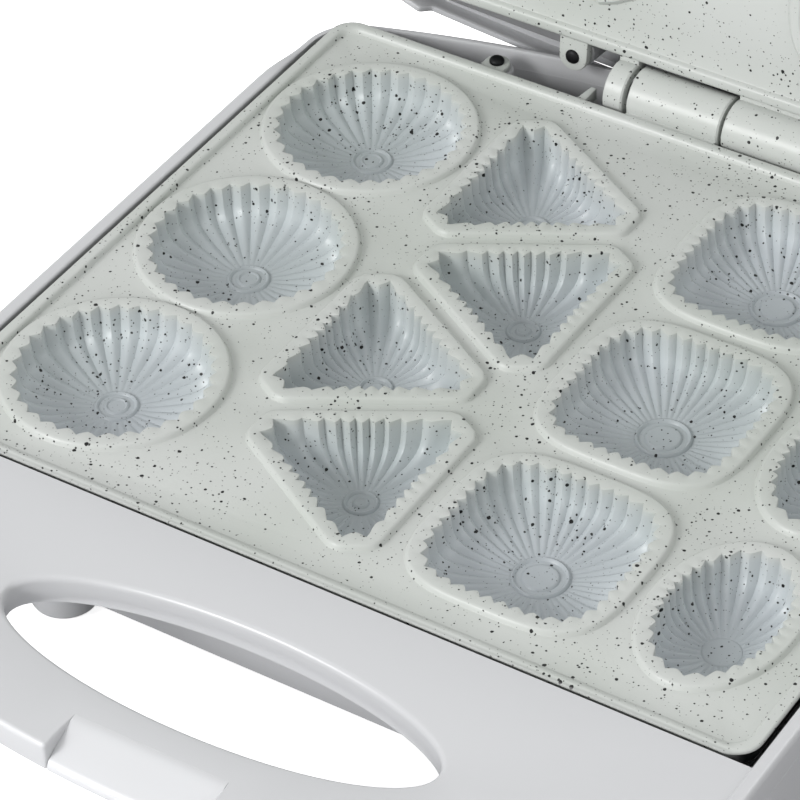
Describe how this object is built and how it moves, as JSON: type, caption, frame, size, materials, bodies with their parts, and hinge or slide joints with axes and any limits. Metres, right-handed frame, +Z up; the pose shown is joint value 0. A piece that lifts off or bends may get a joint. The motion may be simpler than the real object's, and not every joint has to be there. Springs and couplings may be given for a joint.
{
  "type": "clamshell tartlet maker",
  "caption": "Electric clamshell baking appliance with fluted round, triangular, square and oval moulds, hinged lid, grip openings in both handles and a front latch.",
  "frame": {"origin": "middle of the bounding box in plan, on the surface the feet stand on, lid open", "axes": "+X to the right along the hinge, +Y from the handle towards the hinge, +Z up"},
  "size_m": [0.293, 0.409, 0.4169],
  "materials": {
    "shell_plastic": "moulded, satin gloss",
    "stone_look_coating": "die-cast, sprayed stone-look non-stick coating",
    "foot_rubber": "moulded",
    "element_steel": "heat-darkened tube",
    "shield_aluminium": "pressed sheet",
    "blackened_steel": "black oxide",
    "ground_steel": "centreless ground",
    "plated_steel": "nickel plated",
    "ceramic_white": "unglazed",
    "lead_silicone": "braid over silicone",
    "gland_rubber": "moulded",
    "lens_red": "polished, translucent",
    "lens_green": "polished, translucent"
  },
  "bodies": {
    "base": {"lower_housing": "shell_plastic", "lower_handle_cover": "shell_plastic", "base_cover": "shell_plastic", "foot_front_left": "shell_plastic", "foot_pad_front_left": "foot_rubber", "foot_rear_left": "shell_plastic", "foot_pad_rear_left": "foot_rubber", "foot_front_right": "shell_plastic", "foot_pad_front_right": "foot_rubber", "foot_rear_right": "shell_plastic", "foot_pad_rear_right": "foot_rubber", "lower_baking_plate": "stone_look_coating", "hinge_rod": "ground_steel", "lower_plate_screw_left": "blackened_steel", "lower_plate_screw_right": "blackened_steel", "lower_heating_element": "element_steel", "lower_heat_shield": "shield_aluminium", "thermostat": "plated_steel", "thermal_fuse": "ceramic_white", "terminal_block": "ceramic_white", "thermostat_lead": "lead_silicone", "element_lead": "lead_silicone", "cord_gland": "gland_rubber", "cover_screw_1": "blackened_steel", "cover_screw_2": "blackened_steel", "cover_screw_3": "blackened_steel", "cover_screw_4": "blackened_steel"},
    "lid": {"lid_housing": "shell_plastic", "lid_handle_cover": "shell_plastic", "upper_baking_plate": "stone_look_coating", "upper_plate_screw_left": "blackened_steel", "upper_plate_screw_right": "blackened_steel", "upper_heating_element": "element_steel", "upper_heat_shield": "shield_aluminium", "lamp_lens_power": "lens_red", "lamp_lens_ready": "lens_green", "lamp_holder": "ceramic_white", "latch_pin": "ground_steel"},
    "latch": {"latch_clip": "shell_plastic"}
  },
  "joints": [
    {"name": "lid_hinge", "type": "hinge", "parent": "base", "child": "lid", "pos_m": [0, 0.13372, 0.0635], "axis": [1, 0, 0], "range_deg": [0, 96]},
    {"name": "latch_pivot", "type": "hinge", "parent": "lid", "child": "latch", "pos_m": [0, 0.17605, 0.39449], "axis": [1, 0, 0], "range_deg": [0, 40]}
  ]
}
